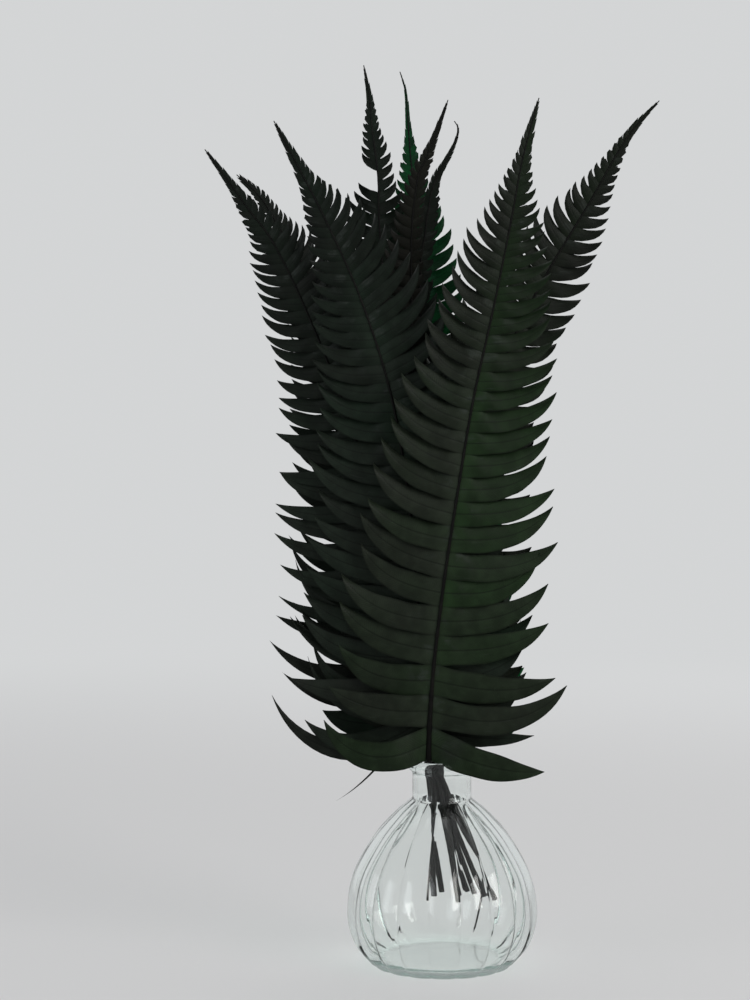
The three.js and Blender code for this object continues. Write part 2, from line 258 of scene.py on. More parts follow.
class Midrib:
    # the midrib from the cut end to the tip, measured along its length
    def __init__(self, frond):
        self.frond = frond
        waistX = bunch["waistX"] + frond["column"] * bunch["stemPitch"] - frond["row"] * bunch["stagger"]
        waist = (waistX, bunch["waistHeight"])
        foot = (frond["foot"][0], bunch["cutHeight"])
        middle = ((foot[0] + 2 * waist[0]) / 3, (foot[1] + 2 * waist[1]) / 3)
        self.line = splineThrough([foot, middle, waist, *frond["route"]])
        self.marks = np.concatenate([[0], np.cumsum(np.hypot(*np.diff(self.line, axis=0).T))])
        self.length = self.marks[-1]
        self.waistY = frond["row"] * bunch["stemPitch"]

    def at(self, s):
        x = np.interp(s, self.marks, self.line[:, 0])
        z = np.interp(s, self.marks, self.line[:, 1])
        return x, self.depthAt(x, z), z

    def heading(self, s, reach=4.0):
        low, high = np.clip(s - reach, 0, self.length), np.clip(s + reach, 0, self.length)
        x0, _, z0 = self.at(low)
        x1, _, z1 = self.at(high)
        return np.arctan2(x1 - x0, z1 - z0)

    def depthAt(self, x, z):
        drop = np.clip((bunch["waistHeight"] - z) / (bunch["waistHeight"] - bunch["cutHeight"]), 0, 1)
        below = self.waistY + (self.frond["foot"][1] - self.waistY) * drop ** bunch["splay"]
        blend = smooth((z - bunch["waistHeight"]) / (bunch["rimHeight"] - bunch["waistHeight"]))
        above = self.waistY + (layerDepth(self.frond["layer"], x, z) - self.waistY) * blend
        return np.where(z <= bunch["waistHeight"], below, above)

    def radius(self, s):
        return np.minimum(blade["stemRadius"], blade["tipRadius"] + (self.length - s) * blade["stemTaper"])


class Skin:
    # points, faces and the coordinates that the leaf material reads
    def __init__(self):
        self.points, self.faces, self.places, self.measures, self.slots = [], [], [], [], []
        self.count = 0

    def addSheet(self, grid, places, measures, slot=0, wrapAcross=False):
        rows, columns = grid.shape[:2]
        base = self.count
        self.points.append(grid.reshape(-1, 3))
        self.places.append(places.reshape(-1, 3))
        self.measures.append(measures.reshape(-1, 3))
        self.count += rows * columns
        i, j = np.meshgrid(np.arange(rows - 1), np.arange(columns - (0 if wrapAcross else 1)), indexing="ij")
        n = (j + 1) % columns
        quads = np.stack([base + i * columns + j, base + i * columns + n,
                          base + (i + 1) * columns + n, base + (i + 1) * columns + j], -1).reshape(-1, 4)
        self.faces += quads.tolist()
        self.slots += [slot] * len(quads)
        return base

    def addPoint(self, point):
        self.points.append(np.array([point]))
        self.places.append(np.zeros((1, 3)))
        self.measures.append(np.zeros((1, 3)))
        self.count += 1
        return self.count - 1

    def addFace(self, corners, slot=0):
        self.faces.append(corners)
        self.slots.append(slot)

    def object(self, name, materials, sharpAngle):
        mesh = bpy.data.meshes.new(name)
        points = np.concatenate(self.points) * mm
        mesh.from_pydata(points.tolist(), [], self.faces)
        mesh.polygons.foreach_set("material_index", self.slots)
        for material in materials:
            mesh.materials.append(material)
        for label, rows in (("leafPlace", self.places), ("leafMeasure", self.measures)):
            layer = mesh.attributes.new(label, "FLOAT_VECTOR", "POINT")
            layer.data.foreach_set("vector", np.concatenate(rows).astype(np.float32).ravel())
        mesh.shade_smooth()
        mesh.set_sharp_from_angle(angle=math.radians(sharpAngle))
        mesh.update()
        made = bpy.data.objects.new(name, mesh)
        scene.collection.objects.link(made)
        return made


def outwardSide(frond):
    # the front layers show their faces to the front, and the others to the back
    return -1 if frond["layer"] <= 0.1 else 1


def addRib(skin, rib, frond, marks):
    # the round stem and midrib, with a shallow groove along its face and a joint at each pinna
    count = int(rib.length / blade["ribStep"])
    s = np.linspace(0, rib.length, count + 1)
    x, y, z = rib.at(s)
    turn = rib.heading(s)
    sides = blade["ribSides"]
    angle = np.arange(sides) * 2 * math.pi / sides
    facing = np.cos(angle / 2 - math.pi / 4 * outwardSide(frond))
    groove = 1 - blade["groove"] * np.exp(-(facing ** 2 - 1) ** 2 * 60)
    across, deep = np.cos(angle), -np.sin(angle)
    flat = (blade["footWidth"] + blade["neckWiden"] * smooth((z - 62) / 38)
            - blade["bladeNarrow"] * smooth((z - bunch["rimHeight"]) / 60))
    apart = np.abs(s[:, None] - (rib.length - marks)[None, :]).min(1)
    joints = 1 + blade["joint"] * np.exp(-(apart / 1.6) ** 2) + 0.03 * np.sin(s * 0.9 + frond["seed"])
    size = (rib.radius(s) * joints)[:, None] * groove[None, :]
    grid = np.empty((count + 1, sides, 3))
    grid[..., 0] = x[:, None] + (np.cos(turn) * flat)[:, None] * across * size
    grid[..., 1] = y[:, None] + deep * size
    grid[..., 2] = z[:, None] - (np.sin(turn) * flat)[:, None] * across * size
    places = np.zeros((count + 1, sides, 3))
    places[..., 0] = (s / rib.length)[:, None]
    places[..., 1] = np.cos(angle)[None, :]
    measures = np.zeros((count + 1, sides, 3))
    measures[..., 0] = s[:, None] * mm
    measures[..., 2] = (rib.length - s)[:, None] * mm
    base = skin.addSheet(grid[:, ::-1], places[:, ::-1], measures[:, ::-1], ribSlot, wrapAcross=True)
    skin.addFace([base + k for k in reversed(range(sides))], ribSlot)
    skin.addFace([base + count * sides + k for k in range(sides)], ribSlot)


def pairMarks(rib, frond):
    # distances from the tip of the bounds between pinnae, tip first
    along = np.linspace(0, rib.length, 2000)
    room = rib.length - np.interp(frond["bare"], rib.at(along)[2], along)
    marks = [blade["tipPitch"]]
    while marks[-1] < room:
        spread = np.interp(marks[-1], [0, blade["pitchRange"]], frond["pitch"])
        marks.append(marks[-1] + (blade["tipPitch"] + blade["pitchGrowth"] * marks[-1]) * spread)
    return np.array(marks) * (room / marks[-1])


def addPinna(skin, rib, frond, side, low, high, pair, dice):
    # one pinna, from the midrib between the marks low and high out to its tip
    middle = (low + high) / 2
    fromTip = rib.length - middle
    pitch = high - low
    wild = frond["unruly"] * float(smooth((fromTip - blade["unrulyFrom"]) / blade["unrulyRun"]))
    x0, y0, z0 = [float(v) for v in rib.at(middle)]
    longer, lower, curled, wider = 1, 0, 0, 1
    for odd in frond["odd"]:
        if odd[0] == side and odd[1] <= z0 < odd[2]:
            longer, lower, curled, wider = odd[3:]
    if longer == 0:
        return

    # the spine leaves the midrib at an angle and sweeps up to the tip
    knots = np.array(frond["right"] if side > 0 else frond["left"]).T
    reach = np.interp(fromTip, blade["lengthAt"], blade["length"]) * np.interp(fromTip, *knots) * longer
    reach *= 1 + dice.normal(0, 0.02 + 0.05 * wild)
    droops = frond["droopsRight"] if side > 0 else frond["droopsLeft"]
    droop = lower + (droops[pair] if pair < len(droops) else 0)
    rise = math.radians(blade["baseRise"] + blade["tipRise"] * math.exp(-fromTip / blade["riseFade"])
                        + droop + dice.normal(0, 1.4 + 3.5 * wild))
    sweep = math.radians(curled + blade["sweep"] * (1 + dice.normal(0, 0.12 + 0.15 * wild)))
    steps = int(np.clip(reach / blade["stepLength"], 5, 20))
    s = 1 - (1 - np.linspace(0, 1, steps + 1)) ** 1.15
    heading = float(rib.heading(middle))
    turn = rise + sweep * s**2 / 3 - heading * side
    facing = rise + sweep * s**2 - heading * side
    spineX = x0 + side * np.cos(turn) * reach * s
    spineZ = z0 + np.sin(turn) * reach * s

    # half width: the full pitch where neighbours are joined, then a blade that tapers to its tip
    fill = np.interp(fromTip, blade["fillAt"], blade["fill"]) * (1 + dice.normal(0, 0.02))
    taper = np.interp(fromTip, blade["taperAt"], blade["taper"])
    power = np.interp(fromTip, blade["taperAt"], blade["point"])
    tapering = np.maximum(0, 1 - s**taper) ** power
    bladeHalf = pitch / 2 * fill * wider * np.cos(rise + sweep * s**2 * 0.4) * tapering
    joined = reach * np.interp(fromTip / frond["joined"], blade["joinedAt"], blade["joined"])
    rooted = smooth((s * reach - joined) / (0.32 * pitch + 0.4))
    half = pitch / 2 * 1.06 * (1 - rooted) + bladeHalf * rooted
    ripple = dice.uniform(0, 6)
    half = np.maximum(half * (1 + 0.03 * np.sin(s * 15 + ripple) * rooted), blade["tipHalf"])
    alongX, alongZ = math.sin(heading), math.cos(heading)
    ax = alongX * (1 - rooted) - side * np.sin(facing) * rooted
    az = alongZ * (1 - rooted) + np.cos(facing) * rooted

    # relief towards the outer face: shingled edges, an arched section, a sunk vein, a curled tip
    out = outwardSide(frond)
    size = min(1.0, reach / 45)
    lengths, widths = np.meshgrid(s, np.array(blade["acrossSteps"]), indexing="ij")
    roll = wild * float(np.clip(dice.normal(0, 0.35), -0.6, 0.6)) * lengths**1.5
    flatWidth = half[:, None] * widths * np.cos(roll)
    gx = spineX[:, None] + ax[:, None] * flatWidth
    gz = spineZ[:, None] + az[:, None] * flatWidth
    room = bunch["layerGap"] * layerSpread(gz) * layerWrap(gx, gz)
    grown = smooth((lengths * reach - joined) / 8)
    relief = -(blade["shingle"] + dice.normal(0, 0.3)) * widths * grown * min(1, wider * 2)
    relief += blade["arch"] * (1 - widths**2) * smooth(lengths * 5)
    relief += blade["rootSwell"] * np.exp(-((lengths * reach - 8) / 5) ** 2) * (1 - 0.5 * widths**2)
    relief -= dice.normal(0.5, 0.6) * lengths**2 * blade["tipCurl"]
    relief += blade["ripple"] * np.sin(lengths * 13 + ripple) * widths * grown
    relief = relief * np.clip(room / 8, 0.25, 1.3) * size + half[:, None] * widths * np.sin(roll)
    vein = blade["veinDepth"] * np.exp(-(widths / 0.07) ** 2) * smooth(lengths * 8) * (1 - 0.6 * lengths)
    push = frond["skirt"] * max(0, 1 - pair / blade["skirtPairs"])
    gy = y0 + layerDepth(frond["layer"], gx, gz) - float(layerDepth(frond["layer"], x0, z0)) + out * relief
    gy = gy - push * smooth(lengths / blade["skirtRun"])
    thick = blade["thickness"] * (0.55 + 0.45 * size) * (1 - 0.55 * widths**4) * (1 - 0.35 * lengths)
    outer = np.stack([gx, gy + out * (thick / 2 - vein * size), gz], -1)
    inner = np.stack([gx, gy - out * (thick / 2 + vein * size * 0.7), gz], -1)

    # the lowest pinnae are greyer, and the painted light that sets the two halves of the frond apart is
    # weaker there
    lowDown = float(smooth((fromTip - blade["lowFrom"]) / blade["lowRun"]))
    tone = frond["tone"] - 0.3 * lowDown + frond["green"] * side * (1 - 0.85 * lowDown)
    tone = float(np.clip(tone + dice.normal(0, 0.16), 0, 1))
    places = np.stack([lengths, widths, np.full_like(lengths, tone)], -1)
    measures = np.stack([lengths * reach * mm, widths * half[:, None] * mm,
                         np.full_like(lengths, fromTip * mm)], -1)

    # two sheets, front and back, closed all round by a rim
    front, back = (outer, inner) if out < 0 else (inner, outer)
    rows, columns = lengths.shape
    a = skin.addSheet(front[:, ::side], places[:, ::side], measures[:, ::side], leafSlot)
    b = skin.addSheet(back[:, ::-side], places[:, ::-side], measures[:, ::-side], leafSlot)
    rim = columns - 1
    for i in range(rows - 1):
        p, q = i * columns, (i + 1) * columns
        skin.addFace([a + p + rim, a + q + rim, b + q, b + p], leafSlot)
        skin.addFace([a + q, a + p, b + p + rim, b + q + rim], leafSlot)
    end = (rows - 1) * columns
    for j in range(columns - 1):
        skin.addFace([a + j, a + j + 1, b + rim - j - 1, b + rim - j][::-1], leafSlot)
        skin.addFace([a + end + j, a + end + j + 1, b + end + rim - j - 1, b + end + rim - j], leafSlot)


def makeFrond(name, frond, materials):
    rib = Midrib(frond)
    dice = np.random.default_rng(frond["seed"])
    skin = Skin()
    marks = pairMarks(rib, frond)
    addRib(skin, rib, frond, marks)
    for k in range(len(marks) - 1):
        pair = len(marks) - 2 - k
        for side in (1, -1):
            addPinna(skin, rib, frond, side, rib.length - marks[k + 1], rib.length - marks[k], pair, dice)
    piece = skin.object(name + "_leaf", materials, blade["sharpAngle"])
    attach(piece, "root")
    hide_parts(name)
    print(name, len(piece.data.polygons), "faces")


# The vase, in millimetres. belly is its outline as radius and height, foot gives radius, height and the
# share of the flute depth, and floorCurve gives radius, height above the floor and depth of the flute.
vase = {
    "height": 120,
    "foot": ((30, 0, 0), (36, 0, 0.3), (38, 0, 0.5), (40.4, 0.35, 0.5)),
    "belly": ((42, 1.4), (51.7, 13.6), (56, 31), (52.2, 53), (39.5, 75.5), (27, 89.5), (17.3, 97.5)),
    "neckRadius": 17.2,
    "neckTop": 112,
    "lipRadius": 20.8,
    "lipThickness": 5.5,
    "boreRadius": 15,
    "wall": 2.3,
    "wallFlute": 0.85,  # how much of each flute shows on the inside
    "floor": 3.9,
    "floorEdge": 2.6,
    "floorCurve": ((42, 1.9, 0.4), (36, 0.5, 0.2), (26, 0, 0), (12, 0, 0)),
    "flutes": 18,
    "fluteDepth": 2.4,
    "fluteSharpness": 0.8,
    "columnsPerFlute": 14,
    "bellySteps": 9,
    "sharpAngle": 40,
}


def vaseOutline():
    # rows of radius, height and flute depth, up the outside, over the lip and down to the floor
    curve = splineThrough(vase["belly"], vase["bellySteps"])
    away = np.gradient(curve, axis=0)
    away /= np.linalg.norm(away, axis=1, keepdims=True)
    t = np.linspace(0, 1, len(curve))
    depth = vase["fluteDepth"] * np.minimum(1, np.minimum(0.5 + 3 * t, 4 * (1 - t)))
    shoulder = vase["belly"][-1][1]
    neck = np.linspace(shoulder + 1, vase["neckTop"] - 1, 5)
    bead = vase["lipThickness"] / 2

    rows = [(r, z, vase["fluteDepth"] * share) for r, z, share in vase["foot"]]
    rows += [(r, z, d) for (r, z), d in zip(curve, depth)]
    rows += [(vase["neckRadius"], z, 0) for z in neck]
    rows += [(vase["neckRadius"] + 0.5, vase["neckTop"] + 1.2, 0)]
    for angle in np.radians(np.linspace(-60, 175, 14)):
        rows.append((vase["lipRadius"] - bead + bead * math.cos(angle),
                     vase["height"] - bead + bead * math.sin(angle), 0))
    rows += [(vase["boreRadius"], z, 0) for z in neck[::-1]]
    inside = curve - np.stack([away[:, 1], -away[:, 0]], 1) * vase["wall"]
    for (r, z), d in zip(inside[::-1], depth[::-1]):
        if vase["floor"] + vase["floorEdge"] < z < shoulder - 1:
            rows.append((r, z, d * vase["wallFlute"]))
    rows += [(r, vase["floor"] + z, d) for r, z, d in vase["floorCurve"]]
    return rows


def makeVase(material):
    rows = vaseOutline()
    columns = vase["flutes"] * vase["columnsPerFlute"]
    angle = np.arange(columns) * 2 * math.pi / columns
    valley = 1 - np.abs(np.sin(angle * vase["flutes"] / 2)) ** vase["fluteSharpness"]
    grid = []
    for radius, z, depth in rows:
        r = radius - depth * valley
        grid.append(np.stack([r * np.cos(angle), r * np.sin(angle), np.full(columns, z)], -1))
    grid = np.array(grid)
    skin = Skin()
    blank = np.zeros_like(grid)
    base = skin.addSheet(grid, blank, blank, wrapAcross=True)
    for row, z, upward in ((0, 0.0, False), (len(rows) - 1, vase["floor"], True)):
        ring = [base + row * columns + k for k in range(columns)]
        middle = skin.addPoint([0, 0, z])
        for k in range(columns):
            a, b = ring[k], ring[(k + 1) % columns]
            skin.addFace([a, b, middle] if upward else [b, a, middle])
    piece = skin.object("glass_vase_shell", [material], vase["sharpAngle"])
    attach(piece, "root")
    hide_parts("glass_vase")
    print("vase", len(piece.data.polygons), "faces")


def newMaterial(name):
    material = bpy.data.materials.new(name)
    material.use_nodes = True
    material.node_tree.nodes.clear()
    return material, material.node_tree.nodes, material.node_tree.links


def addNode(nodes, kind, values=None, **settings):
    # a shader node with its settings, and with input values by name or number
    node = nodes.new("ShaderNode" + kind)
    for label, value in settings.items():
        setattr(node, label, value)
    for label, value in (values or {}).items():
        node.inputs[label].default_value = value
    return node


def addRamp(nodes, start, startColour, end, endColour):
    ramp = addNode(nodes, "ValToRGB")
    first, last = ramp.color_ramp.elements
    first.position, first.color = start, (*startColour, 1)
    last.position, last.color = end, (*endColour, 1)
    return ramp


# The pattern, finish and painted light and shade that all the dyed leaves share, in metres.
leafLook = {
    "mottleScale": 130,
    "veinSpacing": 0.0013,
    "veinSlant": 0.75,
    "veinWander": 0.0014,
    "toneDrift": 0.9,
    # painted shade at the tips of the fronds, and painted light low down
    "tipPaintedShade": 0.66,
    "lowPaintedLight": 1.6,
    "paintedShadeFrom": 0.05,
    "paintedShadeTo": 0.25,
    "scuff": 0.5,
    # the strength of the painted sheen near the midrib
    "paintedSheen": 0.75,
    # the strength of the painted shade at the pinna edges
    "edgePaintedShade": 0.5,
    "sideVeinDark": 0.3,
    "midveinDark": 0.5,
    "roughness": 0.32,
    "specular": 0.09,
    "bump": 0.35,
    "bumpDepth": 0.00025,
}


def leafTexture():
    # veins, mottling, tone and painted light and shade of a dyed leaf, from the coordinates that its mesh
    # carries
    group = bpy.data.node_groups.new("dyedLeafAndPaintedLight", "ShaderNodeTree")
    for label in ("Grey Colour", "Green Colour", "Vein Colour", "Scuff Colour"):
        group.interface.new_socket(label, in_out="INPUT", socket_type="NodeSocketColor")
    for label in ("Mottle Scale", "Vein Spacing"):
        group.interface.new_socket(label, in_out="INPUT", socket_type="NodeSocketFloat")
    group.interface.new_socket("Colour", in_out="OUTPUT", socket_type="NodeSocketColor")
    group.interface.new_socket("Roughness", in_out="OUTPUT", socket_type="NodeSocketFloat")
    group.interface.new_socket("Height", in_out="OUTPUT", socket_type="NodeSocketFloat")
    nodes, links = group.nodes, group.links
    ins = nodes.new("NodeGroupInput")
    outs = nodes.new("NodeGroupOutput")

    def fillSocket(socket, value):
        if isinstance(value, (int, float)):
            socket.default_value = value
        else:
            links.new(value, socket)

    def maths(kind, *values, clamp=False):
        n = addNode(nodes, "Math", operation=kind, use_clamp=clamp)
        for socket, value in zip(n.inputs, values):
            fillSocket(socket, value)
        return n.outputs[0]

    def blend(factor, a, b, kind="MIX"):
        n = addNode(nodes, "Mix", data_type="RGBA", blend_type=kind)
        for number, value in ((0, factor), (6, a), (7, b)):
            fillSocket(n.inputs[number], value)
        return n.outputs[2]

    def spread(value, low, high, a=0.0, b=1.0):
        n = addNode(nodes, "MapRange", {1: low, 2: high, 3: a, 4: b}, interpolation_type="SMOOTHSTEP")
        links.new(value, n.inputs[0])
        return n.outputs[0]

    def noise(scale, detail, vector):
        n = addNode(nodes, "TexNoise", {"Detail": detail})
        fillSocket(n.inputs["Scale"], scale)
        links.new(vector, n.inputs["Vector"])
        return n.outputs[0]

    def combine(kind, *values):
        n = addNode(nodes, kind)
        for socket, value in zip(n.inputs, values):
            links.new(value, socket)
        return n.outputs[0]

    def attributeParts(name):
        carried = addNode(nodes, "Attribute", attribute_name=name)
        parts = addNode(nodes, "SeparateXYZ")
        links.new(carried.outputs["Vector"], parts.inputs[0])
        return parts.outputs

    _, across, greenness = attributeParts("leafPlace")
    alongSize, acrossSize, fromTip = attributeParts("leafMeasure")
    coords = addNode(nodes, "TexCoord").outputs["Object"]
    veinAndShadeColour, scuffAndSheenColour = ins.outputs["Vein Colour"], ins.outputs["Scuff Colour"]

    # side veins run out and forward from the midvein
    beside = maths("ABSOLUTE", across)
    midvein = spread(beside, 0.08, 0.02)
    lag = maths("MULTIPLY", maths("ABSOLUTE", acrossSize), leafLook["veinSlant"])
    slant = maths("SUBTRACT", alongSize, lag)
    wander = maths("MULTIPLY", maths("SUBTRACT", noise(220, 2, coords), 0.5), leafLook["veinWander"])
    phase = maths("DIVIDE", maths("ADD", slant, wander), ins.outputs["Vein Spacing"])
    sideVein = maths("POWER", maths("ABSOLUTE", maths("SINE", maths("MULTIPLY", phase, math.pi))), 7)
    sideVein = maths("MULTIPLY", sideVein, spread(beside, 0.98, 0.75))

    # each pinna leans to the grey or the green end of its dye, partly at random and partly as painted light
    # on one half of the frond, and drifts between them along the frond
    mottle = noise(ins.outputs["Mottle Scale"], 5, coords)
    drift = maths("MULTIPLY", maths("SUBTRACT", noise(30, 2, coords), 0.5), leafLook["toneDrift"])
    lean = maths("ADD", greenness, drift, clamp=True)
    tone = blend(lean, ins.outputs["Grey Colour"], ins.outputs["Green Colour"])
    brightness = maths("ADD", maths("MULTIPLY", spread(mottle, 0.35, 0.7), 0.4), 0.8)
    brightness = maths("ADD", brightness, maths("MULTIPLY", spread(alongSize, 0.011, 0.001), 0.5))
    # painted shade darkens each frond towards its tip, and painted light brightens it lower down
    paintedTipShade = spread(fromTip, leafLook["paintedShadeFrom"], leafLook["paintedShadeTo"],
                        leafLook["tipPaintedShade"], leafLook["lowPaintedLight"])
    brightness = maths("MULTIPLY", brightness, paintedTipShade)
    tone = blend(1.0, tone, combine("CombineColor", brightness, brightness, brightness), "MULTIPLY")

    # fine pale scuffs run along the pinna, and a painted sheen, pale highlights in the scuff colour, lies
    # near the midrib on one half of each pinna
    scuffPlace = combine("CombineXYZ", maths("MULTIPLY", alongSize, 90), maths("MULTIPLY", acrossSize, 1100),
                         maths("MULTIPLY", fromTip, 700))
    tone = blend(spread(noise(1, 2, scuffPlace), 0.66, 0.8, 0.0, leafLook["scuff"]), tone, scuffAndSheenColour)
    paintedSheen = maths("MULTIPLY", spread(noise(110, 4, coords), 0.53, 0.66), spread(alongSize, 0.019, 0.003))
    paintedSheen = maths("MULTIPLY", paintedSheen, spread(across, -0.5, 0.3))
    streak = spread(noise(1, 2, scuffPlace), 0.35, 0.65, 0.35, 1.0)
    tone = blend(maths("MULTIPLY", maths("MULTIPLY", paintedSheen, streak), leafLook["paintedSheen"]), tone, scuffAndSheenColour)

    # painted shade darkens the edges, where neighbouring pinnae overlap, and the veins are darker
    tone = blend(spread(beside, 0.8, 1.0, 0.0, leafLook["edgePaintedShade"]), tone, veinAndShadeColour)
    tone = blend(maths("MULTIPLY", sideVein, leafLook["sideVeinDark"]), tone, veinAndShadeColour)
    tone = blend(maths("MULTIPLY", midvein, leafLook["midveinDark"]), tone, veinAndShadeColour)
    links.new(tone, outs.inputs["Colour"])

    rough = maths("ADD", maths("MULTIPLY", mottle, 0.22), maths("MULTIPLY", noise(900, 2, coords), 0.12))
    links.new(maths("ADD", rough, leafLook["roughness"]), outs.inputs["Roughness"])
    height = maths("ADD", maths("MULTIPLY", sideVein, -0.35), maths("MULTIPLY", noise(1500, 3, coords), 0.3))
    height = maths("ADD", height, maths("MULTIPLY", noise(320, 2, coords), 0.5))
    links.new(height, outs.inputs["Height"])
    return group


# Dye of each kind of frond, as linear colours. The leaf pattern also uses the vein colour for painted shade
# at the pinna edges and the scuff colour for painted sheen near the midrib.
leafDyesAndPaintedLight = {
    "deep_green_leaf": {"grey": (0.0092, 0.0119, 0.0081), "green": (0.0069, 0.0153, 0.0056),
                        "vein": (0.0020, 0.0030, 0.0018), "scuff": (0.034, 0.042, 0.036)},
    "grey_green_leaf": {"grey": (0.0080, 0.0098, 0.0076), "green": (0.0067, 0.0124, 0.0077),
                        "vein": (0.0018, 0.0024, 0.0018), "scuff": (0.032, 0.038, 0.034)},
    "brown_black_leaf": {"grey": (0.0082, 0.0078, 0.0056), "green": (0.0074, 0.0090, 0.0056),
                         "vein": (0.0022, 0.0022, 0.0016), "scuff": (0.03, 0.032, 0.027)},
    # the emerald frond is dyed green, and painted brighter as light shining through it from behind
    "emerald_leaf": {"grey": (0.0022, 0.0190, 0.0070), "green": (0.0012, 0.0560, 0.0135),
                     "vein": (0.0008, 0.0070, 0.0026), "scuff": (0.02, 0.07, 0.04)},
}


def leafMaterial(name, dye, shade, texture):
    material, nodes, links = newMaterial(name)
    out = addNode(nodes, "OutputMaterial")
    shader = addNode(nodes, "BsdfPrincipled", {"Specular IOR Level": leafLook["specular"]})
    pattern = addNode(nodes, "Group", node_tree=texture)
    for label in ("Grey", "Green", "Vein", "Scuff"):
        colour = [channel * shade for channel in dye[label.lower()]]
        pattern.inputs[label + " Colour"].default_value = (*colour, 1)
    pattern.inputs["Mottle Scale"].default_value = leafLook["mottleScale"]
    pattern.inputs["Vein Spacing"].default_value = leafLook["veinSpacing"]
    bump = addNode(nodes, "Bump", {"Strength": leafLook["bump"], "Distance": leafLook["bumpDepth"]})
    links.new(pattern.outputs["Colour"], shader.inputs["Base Color"])
    links.new(pattern.outputs["Roughness"], shader.inputs["Roughness"])
    links.new(pattern.outputs["Height"], bump.inputs["Height"])
    links.new(bump.outputs[0], shader.inputs["Normal"])
    links.new(shader.outputs[0], out.inputs["Surface"])
    return material


# The dried stem and midrib: nearly black, with a paler, fibrous grain along it.
ribFinish = {
    "dark": (0.0014, 0.0014, 0.0011),
    "pale": (0.0050, 0.0047, 0.0037),
    "grain": 780,
    "grainStretch": 0.12,
    "patches": 90,
    "roughness": 0.6,
    "specular": 0.12,
    "bump": 0.5,
    "bumpDepth": 0.0003,
}


def ribMaterial():
    material, nodes, links = newMaterial("driedRib")
    out = addNode(nodes, "OutputMaterial")
    shader = addNode(nodes, "BsdfPrincipled", {"Roughness": ribFinish["roughness"],
                                               "Specular IOR Level": ribFinish["specular"]})
    coords = addNode(nodes, "TexCoord")
    stretch = addNode(nodes, "Mapping", {"Scale": (1, 1, ribFinish["grainStretch"])})
    links.new(coords.outputs["Object"], stretch.inputs["Vector"])
    grain = addNode(nodes, "TexNoise", {"Scale": ribFinish["grain"], "Detail": 4})
    links.new(stretch.outputs[0], grain.inputs["Vector"])
    patches = addNode(nodes, "TexNoise", {"Scale": ribFinish["patches"]})
    links.new(coords.outputs["Object"], patches.inputs["Vector"])
    mixed = addNode(nodes, "Math", operation="MULTIPLY")
    links.new(grain.outputs[0], mixed.inputs[0])
    links.new(patches.outputs[0], mixed.inputs[1])
    ramp = addRamp(nodes, 0.2, ribFinish["dark"], 0.42, ribFinish["pale"])
    links.new(mixed.outputs[0], ramp.inputs[0])
    bump = addNode(nodes, "Bump", {"Strength": ribFinish["bump"], "Distance": ribFinish["bumpDepth"]})
    links.new(grain.outputs[0], bump.inputs["Height"])
    links.new(ramp.outputs[0], shader.inputs["Base Color"])
    links.new(bump.outputs[0], shader.inputs["Normal"])
    links.new(shader.outputs[0], out.inputs["Surface"])
    return material


# Clear glass, with a faint green tint that deepens with thickness.
glassFinish = {
    "tint": (0.973, 0.985, 0.978),
    "depthTint": (0.42, 0.82, 0.72),
    "density": 12,
    "smooth": 0.005,
    "smeared": 0.02,
    "ior": 1.47,
    "mirror": (0.6, 0.6, 0.6),
    "shadow": (0.88, 0.92, 0.905),
    "wobble": 42,
    "bump": 0.25,
    "bumpDepth": 0.0008,
}


def glassMaterial():
    material, nodes, links = newMaterial("clearGlass")
    out = addNode(nodes, "OutputMaterial")
    shader = addNode(nodes, "BsdfPrincipled", {
        "Base Color": (*glassFinish["tint"], 1), "Transmission Weight": 1, "IOR": glassFinish["ior"],
        "Specular Tint": (*glassFinish["mirror"], 1)})
    coords = addNode(nodes, "TexCoord")
    wobble = addNode(nodes, "TexNoise", {"Scale": glassFinish["wobble"], "Detail": 1})
    links.new(coords.outputs["Object"], wobble.inputs["Vector"])
    smear = addNode(nodes, "MapRange", {"To Min": glassFinish["smooth"], "To Max": glassFinish["smeared"]})
    links.new(wobble.outputs[0], smear.inputs["Value"])
    links.new(smear.outputs[0], shader.inputs["Roughness"])
    bump = addNode(nodes, "Bump", {"Strength": glassFinish["bump"], "Distance": glassFinish["bumpDepth"]})
    links.new(wobble.outputs[0], bump.inputs["Height"])
    links.new(bump.outputs[0], shader.inputs["Normal"])
    absorb = addNode(nodes, "VolumeAbsorption", {"Color": (*glassFinish["depthTint"], 1),
                                                 "Density": glassFinish["density"]})
    # light passes through to the floor, so the glass throws only a faint shadow
    through = addNode(nodes, "BsdfTransparent", {"Color": (*glassFinish["shadow"], 1)})
    ray = addNode(nodes, "LightPath")
    mix = addNode(nodes, "MixShader")
    links.new(ray.outputs["Is Shadow Ray"], mix.inputs[0])
    links.new(shader.outputs[0], mix.inputs[1])
    links.new(through.outputs[0], mix.inputs[2])
    links.new(mix.outputs[0], out.inputs["Surface"])
    links.new(absorb.outputs[0], out.inputs["Volume"])
    return material


# The camera stands where the photograph was taken from, a little left of the vase.
view = {"x": -39.2, "distance": 1250, "height": 300, "pitch": 1.28, "lens": 77, "sensor": 36}


def makeCamera():
    data = bpy.data.cameras.new("camera")
    data.lens = view["lens"]
    data.sensor_width = view["sensor"]
    camera = bpy.data.objects.new("camera", data)
    camera.location = (view["x"] * mm, -view["distance"] * mm, view["height"] * mm)
    camera.rotation_euler = (math.radians(90 - view["pitch"]), 0, 0)
    scene.collection.objects.link(camera)
    scene.camera = camera


